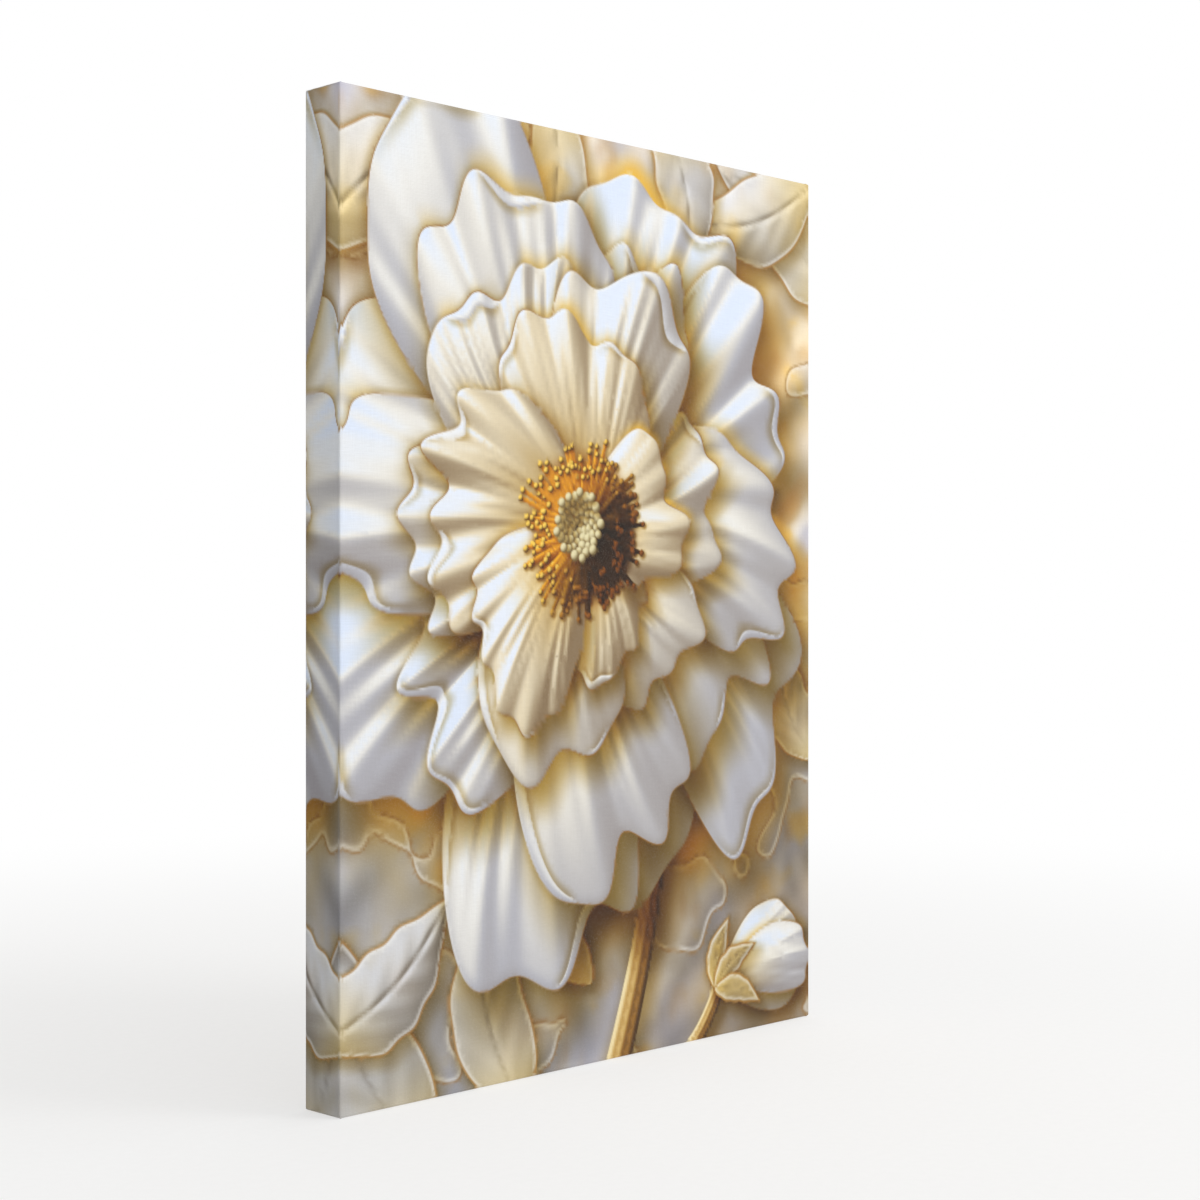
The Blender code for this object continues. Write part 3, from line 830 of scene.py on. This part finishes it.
def fold_heights(across, width):
    """The fold's height over the cloth: sunk at the corner, and a round folded edge at its other side."""
    plateau = FOLD_PROUD * ease(across, 0, min(2.0, 0.4 * width))
    edge_round = min(0.5, 0.3 * width)
    left = np.clip((width - across) / edge_round, 0, 1)
    return plateau * np.sqrt(1 - (1 - left) ** 2) - 0.12 * (left == 0)


def corner_fold(name, right, top):
    """The cloth that is folded over at a corner of the top or the bottom side, and runs on behind."""
    mesh, stations = ClothMesh(), fold_stations()
    corner = np.array([WIDE if right else 0.0, TALL if top else 0.0])
    inwards, up = (-1.0 if right else 1.0), (1.0 if top else -1.0)
    shares = 0.5 - 0.5 * np.cos(np.linspace(0, math.pi, FOLD_COLUMNS))
    ones = np.ones(FOLD_COLUMNS)
    reach = [
        np.column_stack([inwards * unfolded * ones, -up * shares * (ends - starts)])
        for *_, starts, ends, unfolded in stations
    ]
    prints = paint(corner + MIRROR_STRETCH * np.concatenate(reach)).reshape(-1, FOLD_COLUMNS, 3)
    upper, lower = [], []
    for (out, depth, inset, way, starts, ends, unfolded), colours in zip(stations, prints):
        across = shares * (ends - starts)
        level = corner[1] + up * (out - inset)
        place = np.column_stack([corner[0] + inwards * (starts + across), level * ones])
        rise = rise_on_back(place, inset) if inset else 0.0
        flat = np.column_stack([unfolded * ones, across])
        for height, row in ((fold_heights(across, ends - starts), upper), (-FOLD_SUNK * ones, lower)):
            raised = place + np.column_stack([0 * ones, up * way[0] * height])
            row.append(mesh.add(raised, depth + rise + way[1] * height, flat, colours, inset or NOT_BEHIND))
    rims = []
    for layer, order in ((upper, 1), (lower, -1)):
        for first, second in zip(layer, layer[1:]):
            mesh.join(first[::order], second[::order], closed=False)
        edge, corner_side = ([row[end] for row in layer[1:-1]] for end in (-1, 0))
        rims.append(np.concatenate([layer[0], edge, layer[-1][::-1], corner_side[::-1]]))
    mesh.join(*rims)
    return mesh.build(name)


def frayed_threads():
    """Short loose threads along the cut edge, curled a little over the wood."""
    rng = np.random.default_rng(11)
    outline = Outline()
    edges = shrunk(outline.anchors, TURNED_OVER - EDGE_ROUND)
    wood = (wood_back - cloth_low.y) / MM
    points, faces = [], []
    for number in rng.choice(len(edges), THREADS, replace=False):
        edge = edges[number]
        heading = math.atan2(*(-outline.ways[number])[::-1]) + rng.uniform(-0.7, 0.7)
        curl, length, radius = rng.uniform(-0.5, 0.5), rng.uniform(1.5, 5.5), rng.uniform(0.09, 0.14)
        spot = edge - unit(heading) * 0.8
        lifted = DEEP + rise_on_back(edge[None], TURNED_OVER)[0] - CLOTH_THICK / 2
        low = wood + rng.uniform(0.25, 0.6)
        first = len(points)
        for share in np.linspace(0, 1, THREAD_RINGS):
            spot = spot + unit(heading) * length / THREAD_RINGS
            heading += curl * 0.5
            depth = lifted + (low - lifted) * ease(share, 0.1, 0.9)
            side = unit(heading + math.pi / 2)
            for angle in math.pi / 2 * np.arange(4) + math.pi / 4:
                x, z = spot + side * radius * math.cos(angle)
                points.append(CORNER + np.array([x, depth + radius * math.sin(angle), z]) * MM)
        for ring in range(first, len(points) - 4, 4):
            for around in range(4):
                here, following = ring + around, ring + (around + 1) % 4
                faces.append((here, following, following + 4, here + 4))
        faces += [tuple(range(first, first + 4)), tuple(range(len(points) - 4, len(points)))]
    mesh = bpy.data.meshes.new("canvas_frayed_threads")
    mesh.from_pydata(points, [], faces)
    smooth_outwards(mesh)
    return mesh


def dress_canvas():
    """The canvas with its corner folds and loose threads, in place of the plain CAD canvas."""
    cloth_look = canvas_material()
    cloth = new_piece("canvas_cloth", canvas_cloth(), cloth_look)
    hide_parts("canvas")
    for side, right in (("left", False), ("right", True)):
        for level, top in (("bottom", False), ("top", True)):
            name = f"canvas_fold_{level}_{side}"
            new_piece(name, corner_fold(name, right, top), cloth_look)
    new_piece("canvas_frayed_threads", frayed_threads(), thread_material())


def staple_marks():
    """The middle of each staple in the print's plane."""
    boxes = [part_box(node) for node in sorted(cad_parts) if node.startswith("staple_")]
    middles = [(np.array(low) + np.array(high)) / 2 / MM for low, high in boxes]
    return np.array([(x + WIDE / 2, z) for x, _, z in middles])


def put(name, data):
    """A new object in the scene."""
    made = bpy.data.objects.new(name, data)
    bpy.context.scene.collection.objects.link(made)
    return made


def new_piece(name, mesh, material):
    """A piece that moves with the frame's body."""
    piece = put(name, mesh)
    mesh.materials.append(material)
    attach(piece, "frame")
    return piece


# ======== materials
class Shader:
    """A node tree. Names of inputs are as in Blender, and a value may be a number or a socket."""

    def __init__(self, name, tree=None):
        if tree is None:
            self.material = bpy.data.materials.new(name)
            self.material.use_nodes = True
            tree = self.material.node_tree
        tree.nodes.clear()
        self.tree = tree

    def add(self, kind, settings=None, inputs=None):
        node = self.tree.nodes.new("ShaderNode" + kind)
        for name, value in (settings or {}).items():
            setattr(node, name, value)
        for name, value in (inputs or {}).items():
            self.feed(node.inputs[name], value)
        return node

    def feed(self, socket, value):
        if isinstance(value, bpy.types.NodeSocket):
            self.tree.links.new(value, socket)
        else:
            socket.default_value = value

    def math(self, operation, *values):
        return self.add("Math", {"operation": operation}, dict(enumerate(values))).outputs[0]

    def plus(self, *values):
        return self.math("ADD", *values)

    def times(self, *values):
        return self.math("MULTIPLY", *values)

    def line(self, value, factor, start):
        """value * factor + start"""
        return self.math("MULTIPLY_ADD", value, factor, start)

    def split(self, vector):
        return self.add("SeparateXYZ", inputs={0: vector}).outputs

    def stretch(self, vector, scale, location=(0, 0, 0)):
        return self.add("Mapping", inputs={"Vector": vector, "Scale": scale, "Location": location}).outputs[0]

    def noise(self, vector, scale, detail=2.0, roughness=0.5):
        """Noise at this scale, or at one scale for each axis."""
        if isinstance(scale, tuple):
            vector, scale = self.stretch(vector, scale), 1.0
        inputs = {"Vector": vector, "Scale": scale, "Detail": detail, "Roughness": roughness}
        return self.add("TexNoise", inputs=inputs).outputs["Fac"]

    def between(self, value, low, high, to_low=0.0, to_high=1.0):
        inputs = {"Value": value, "From Min": low, "From Max": high, "To Min": to_low, "To Max": to_high}
        return self.add("MapRange", {"interpolation_type": "SMOOTHSTEP"}, inputs).outputs[0]

    def blend(self, share, first, second, mode="MIX"):
        node = self.add("Mix", {"data_type": "RGBA", "blend_type": mode, "clamp_result": True})
        colour_inputs = [socket for socket in node.inputs if socket.type == "RGBA"]
        self.feed(node.inputs[0], share)
        self.feed(colour_inputs[0], first)
        self.feed(colour_inputs[1], second)
        return next(socket for socket in node.outputs if socket.type == "RGBA")

    def tinted(self, colour, value, low, high, most, tint, mode="MIX"):
        """The colour, with up to this much of the tint as the value goes from low to high."""
        return self.blend(self.between(value, low, high, 0.0, most), colour, rgba(*tint), mode)

    def fade(self, share, first, second):
        return self.add("MixShader", inputs={0: share, 1: first.outputs[0], 2: second.outputs[0]})

    def finish(self, colour, roughness, height, distance, strength=1.0, **constants):
        """The material, with a bump this high in metres and constants on the shader's own sockets."""
        bump = self.add("Bump", inputs={"Height": height, "Distance": distance, "Strength": strength})
        inputs = {"Base Color": colour, "Roughness": roughness, "Normal": bump.outputs[0]}
        inputs.update({name.replace("_", " "): value for name, value in constants.items()})
        surface = self.add("BsdfPrincipled", inputs=inputs)
        self.add("OutputMaterial", inputs={0: surface.outputs[0]})
        return self.material


THREAD_PITCH = 0.85 * MM
RINGS_A_METRE = 230.0


def weave(tree, along, across):
    """The height of a plain weave, from 0 in the gaps to 1 on the crowns."""

    def thread(value):
        return tree.math("ABSOLUTE", tree.math("SINE", tree.times(value, math.pi / THREAD_PITCH)))

    def number(value):
        return tree.math("FLOOR", tree.math("DIVIDE", value, THREAD_PITCH))

    warp, weft = thread(along), thread(across)
    over = tree.math("PINGPONG", tree.plus(number(along), number(across)), 1.0)
    under = tree.math("SUBTRACT", 1.0, over)
    warp_over = tree.times(warp, tree.line(weft, 0.45, 0.55))
    weft_over = tree.times(weft, tree.line(warp, 0.45, 0.55))
    return tree.plus(tree.times(over, warp_over), tree.times(under, weft_over))


def canvas_material():
    """Plain-woven cotton with slubs, flecks and painted shade between its threads: inked with the print, and
    bare past the bleed on the back.
    """
    tree = Shader("canvas")
    sheet = tree.add("Attribute", {"attribute_name": "sheet"}).outputs["Vector"]
    printed = tree.add("Attribute", {"attribute_name": "print"}).outputs["Color"]
    x, y, behind = tree.split(sheet)
    shift = tree.line(tree.noise(sheet, 260.0), 0.5 * THREAD_PITCH, -0.25 * THREAD_PITCH)
    cloth = weave(tree, tree.plus(x, shift), tree.plus(y, shift))
    slubs = tree.plus(tree.noise(sheet, (1600, 60, 0)), tree.noise(sheet, (60, 1600, 0)))
    fleck = tree.noise(sheet, 2600.0, 2.0, 0.6)

    # painted shade: the ink is darker in the gaps between the threads
    gaps = tree.between(cloth, 0.0, 0.9, 0.16, 0.0)
    ink = tree.blend(gaps, printed, rgba(0.36, 0.3, 0.25), "MULTIPLY")
    ink = tree.tinted(ink, slubs, 0.7, 1.3, 0.1, (0.7, 0.67, 0.63), "MULTIPLY")
    ink = tree.tinted(ink, fleck, 0.56, 0.8, 0.22, (0.98, 0.97, 0.95))
    raw = tree.tinted(rgba(0.955, 0.94, 0.895), slubs, 0.75, 1.25, 1.0, (0.9, 0.865, 0.79))
    # painted shade: the bare cloth is darker in the gaps between the threads
    gaps = tree.between(cloth, 0.0, 0.8, 0.48, 0.0)
    raw = tree.blend(gaps, raw, rgba(0.58, 0.53, 0.45), "MULTIPLY")
    raw = tree.tinted(raw, fleck, 0.66, 0.74, 0.5, (0.6, 0.5, 0.36))
    past = tree.line(tree.noise(sheet, 90.0, 3.0, 0.65), 3.0 * MM, behind)
    is_raw = tree.between(past, (PRINT_BLEED + 1.2) * MM, (PRINT_BLEED + 2.0) * MM)

    height = tree.line(fleck, 0.25, tree.line(slubs, 0.35, cloth))
    roughness = tree.between(cloth, 0.0, 1.0, 0.8, 0.62)
    colour = tree.blend(is_raw, ink, raw)
    return tree.finish(colour, roughness, height, 0.1 * MM, 0.8, Specular_IOR_Level=0.28)


def thread_material():
    tree = Shader("loose_thread")
    twist = tree.noise(tree.add("TexCoord").outputs["Object"], 2400.0)
    colour = tree.tinted(rgba(0.92, 0.89, 0.82), twist, 0.35, 0.7, 1.0, (0.76, 0.7, 0.6))
    return tree.finish(colour, tree.between(twist, 0.3, 0.7, 0.75, 0.9), twist, 0.03 * MM)


def wood_material(name, grain_axis, seed, light, dark, knots):
    """Planed softwood or sawn hardwood, with its grain along one of the object's axes."""
    tree = Shader(name)
    parts = tree.split(tree.add("TexCoord").outputs["Object"])
    order = {"X": (1, 2, 0), "Z": (0, 1, 2)}[grain_axis]  # the axes that run across, deep and along
    turned = tree.add("CombineXYZ", inputs={n: parts[axis] for n, axis in enumerate(order)}).outputs[0]
    turned = tree.stretch(turned, (1, 1, 1), (seed * 0.731, seed * 0.417, seed * 1.293))
    x, y, _ = tree.split(turned)

    cells = {"Vector": tree.stretch(turned, (16, 16, 5.2)), "Scale": 1.0}
    to_knot = tree.add("TexVoronoi", {"feature": "F1"}, cells).outputs["Distance"]
    sway = tree.noise(turned, (9, 9, 1.6))
    bend = tree.line(tree.between(to_knot, 0.3, 0.05), 0.012 * knots, tree.times(sway, 0.05))
    ring_place = tree.plus(tree.plus(x, bend), tree.times(y, 0.55))
    ring = tree.math("FRACT", tree.times(ring_place, RINGS_A_METRE))
    late = tree.times(tree.between(ring, 0.35, 0.92), tree.between(ring, 1.0, 0.93))
    fibre = tree.noise(turned, (2400, 2400, 45), 3.0, 0.6)
    pores = tree.noise(turned, (1100, 1100, 90))
    tone = tree.noise(turned, (14, 14, 4))

    colour = tree.blend(tree.times(late, 0.75), rgba(*light), rgba(*dark))
    colour = tree.tinted(colour, fibre, 0.35, 0.75, 0.3, dark)
    colour = tree.tinted(colour, tone, 0.35, 0.7, 0.35, [0.92 * part for part in light])
    colour = tree.tinted(colour, pores, 0.66, 0.76, 0.45, [0.62 * part for part in dark])
    core = tree.times(tree.between(to_knot, 0.13, 0.07), knots)
    colour = tree.blend(tree.times(core, 0.85), colour, rgba(0.42, 0.26, 0.14))

    height = tree.line(tree.between(pores, 0.62, 0.76), -1.2, tree.line(late, -0.5, fibre))
    roughness = tree.between(fibre, 0.3, 0.8, 0.52, 0.7)
    return tree.finish(colour, roughness, height, 0.1 * MM, 0.7, Specular_IOR_Level=0.3)


def metal_material(name, colour, dull_colour, roughness, scratch_scale):
    """Bare metal with stains and fine scratches."""
    tree = Shader(name)
    place = tree.add("TexCoord").outputs["Object"]
    scratches = tree.noise(place, scratch_scale, 3.0, 0.6)
    stain = tree.noise(place, 700.0, 4.0, 0.6)
    body = tree.tinted(rgba(*colour), stain, 0.5, 0.75, 0.75, dull_colour)
    body = tree.tinted(body, scratches, 0.55, 0.72, 0.35, [0.6 * part for part in colour])
    rough = tree.line(stain, 0.35, roughness - 0.12)
    return tree.finish(body, rough, tree.line(scratches, 0.5, stain), 0.02 * MM, 0.8, Metallic=1.0)


# How the names of the wooden CAD nodes begin, and their light and dark colour and share of knots
WOODS = {
    "stretcher_bar_": ((0.9, 0.75, 0.54), (0.76, 0.54, 0.31), 1.0),
    "key_": ((0.84, 0.67, 0.49), (0.66, 0.47, 0.31), 0.0),
}
# The same for the metal ones: a material's name, bare and dull colour, roughness and scale of scratches
METALS = {
    "staple_": ("staple_steel", (0.72, 0.72, 0.73), (0.52, 0.53, 0.55), 0.34, (900, 900, 900)),
    "sawtooth_hanger": ("zinc_plate", (0.74, 0.68, 0.5), (0.56, 0.53, 0.44), 0.38, (120, 2500, 2500)),
    "hanger_nail": ("nail_brass", (0.86, 0.68, 0.36), (0.62, 0.46, 0.22), 0.3, (1500, 1500, 1500)),
}


def dress_cad_nodes():
    """A finished material on each CAD node that stays."""
    metals = {start: metal_material(*look) for start, look in METALS.items()}
    for number, (name, node) in enumerate(sorted(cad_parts.items())):
        start = next((start for start in (*WOODS, *METALS) if name.startswith(start)), None)
        if start is None:
            continue
        axis = "X" if name.endswith(("top", "bottom")) else "Z"
        material = metals.get(start) or wood_material(name, axis, number, *WOODS[start])
        node.data.materials.clear()
        node.data.materials.append(material)


# ======== floor, light and camera
FLOOR_RADIUS = 40.0
FLOOR_GAP = 0.02  # millimetres, under the lower folds
SKY_BRIGHT_WAY = (0.72, -0.58, 0.38)  # from where the soft light is strongest
SKY_DIM, SKY_BRIGHT = 0.0, 1.1
SENSOR, LENS = 36.0, 63.45  # millimetres
CAMERA_X, CAMERA_Y = -1.1408, -1.1278  # metres, from the middle of the front
CAMERA_TURN = 45.32  # degrees to the right of straight ahead


def studio_world():
    """White where the camera sees it, and soft light that is brighter from the picture's right and above."""
    world = bpy.data.worlds.new("studio")
    bpy.context.scene.world = world
    world.use_nodes = True
    tree = Shader("studio", world.node_tree)
    dot = {0: tree.add("TexCoord").outputs["Generated"], 1: SKY_BRIGHT_WAY}
    towards = tree.add("VectorMath", {"operation": "DOT_PRODUCT"}, dot).outputs["Value"]
    strength = tree.between(towards, -1.0, 1.0, SKY_DIM, SKY_BRIGHT)
    sky = tree.add("Background", inputs={"Color": (1.0, 0.995, 0.985, 1), "Strength": strength})
    seen = tree.add("Background", inputs={"Color": (1, 1, 1, 1), "Strength": 1.0})
    shown = tree.fade(tree.add("LightPath").outputs["Is Camera Ray"], sky, seen)
    tree.add("OutputWorld", inputs={0: shown.outputs[0]})


def pale_floor():
    """A wide disc that fades into the white behind it."""
    mesh = bpy.data.meshes.new("floor")
    shape = bmesh.new()
    bmesh.ops.create_circle(shape, cap_ends=True, segments=96, radius=FLOOR_RADIUS)
    shape.to_mesh(mesh)
    shape.free()
    floor = put("floor", mesh)
    floor.location.z = -(FOLD_PROUD + FLOOR_GAP) * MM
    tree = Shader("floor")
    place = tree.add("TexCoord").outputs["Object"]
    away = tree.add("VectorMath", {"operation": "LENGTH"}, {0: place}).outputs["Value"]
    grain = tree.noise(place, 140.0, 3.0)
    colour = tree.tinted(rgba(0.955, 0.953, 0.948), grain, 0.3, 0.7, 1.0, (0.965, 0.963, 0.958))
    matte = tree.add("BsdfDiffuse", inputs={"Color": colour})
    glow = tree.add("Emission", inputs={"Color": (1, 1, 1, 1), "Strength": 1.0})
    shown = tree.fade(tree.between(away, 0.3, 1.7, 0.58, 1.0), matte, glow)
    tree.add("OutputMaterial", inputs={0: shown.outputs[0]})
    mesh.materials.append(tree.material)


def facing(way):
    """The turn of a lamp or a camera that looks this way."""
    return Vector(way).to_track_quat("-Z", "Y").to_euler()


def soft_light(name, at, aim, size, power):
    """A round lamp. The size is in metres and the power in watts."""
    light = bpy.data.lights.new(name, "AREA")
    light.shape, light.size, light.energy = "DISK", size, power
    lamp = put(name, light)
    lamp.location = at
    lamp.rotation_euler = facing(Vector(aim) - Vector(at))


def camera():
    """Level with the picture's middle, and turned to its right."""
    turn = math.radians(CAMERA_TURN)
    data = bpy.data.cameras.new("camera")
    data.sensor_width, data.lens = SENSOR, LENS
    viewer = put("camera", data)
    viewer.location = (CAMERA_X, cloth_low.y + CAMERA_Y, (cloth_low.z + cloth_high.z) / 2)
    viewer.rotation_euler = facing((math.sin(turn), math.cos(turn), 0))
    bpy.context.scene.camera = viewer


# ======== the scene
bpy.context.scene.view_settings.view_transform = "Standard"
STAPLES = staple_marks()

studio_world()
pale_floor()
camera()
soft_light("key", at=(1.6, -2.6, 2.2), aim=(0, 0, 0.35), size=1.6, power=34)

dress_canvas()
dress_cad_nodes()
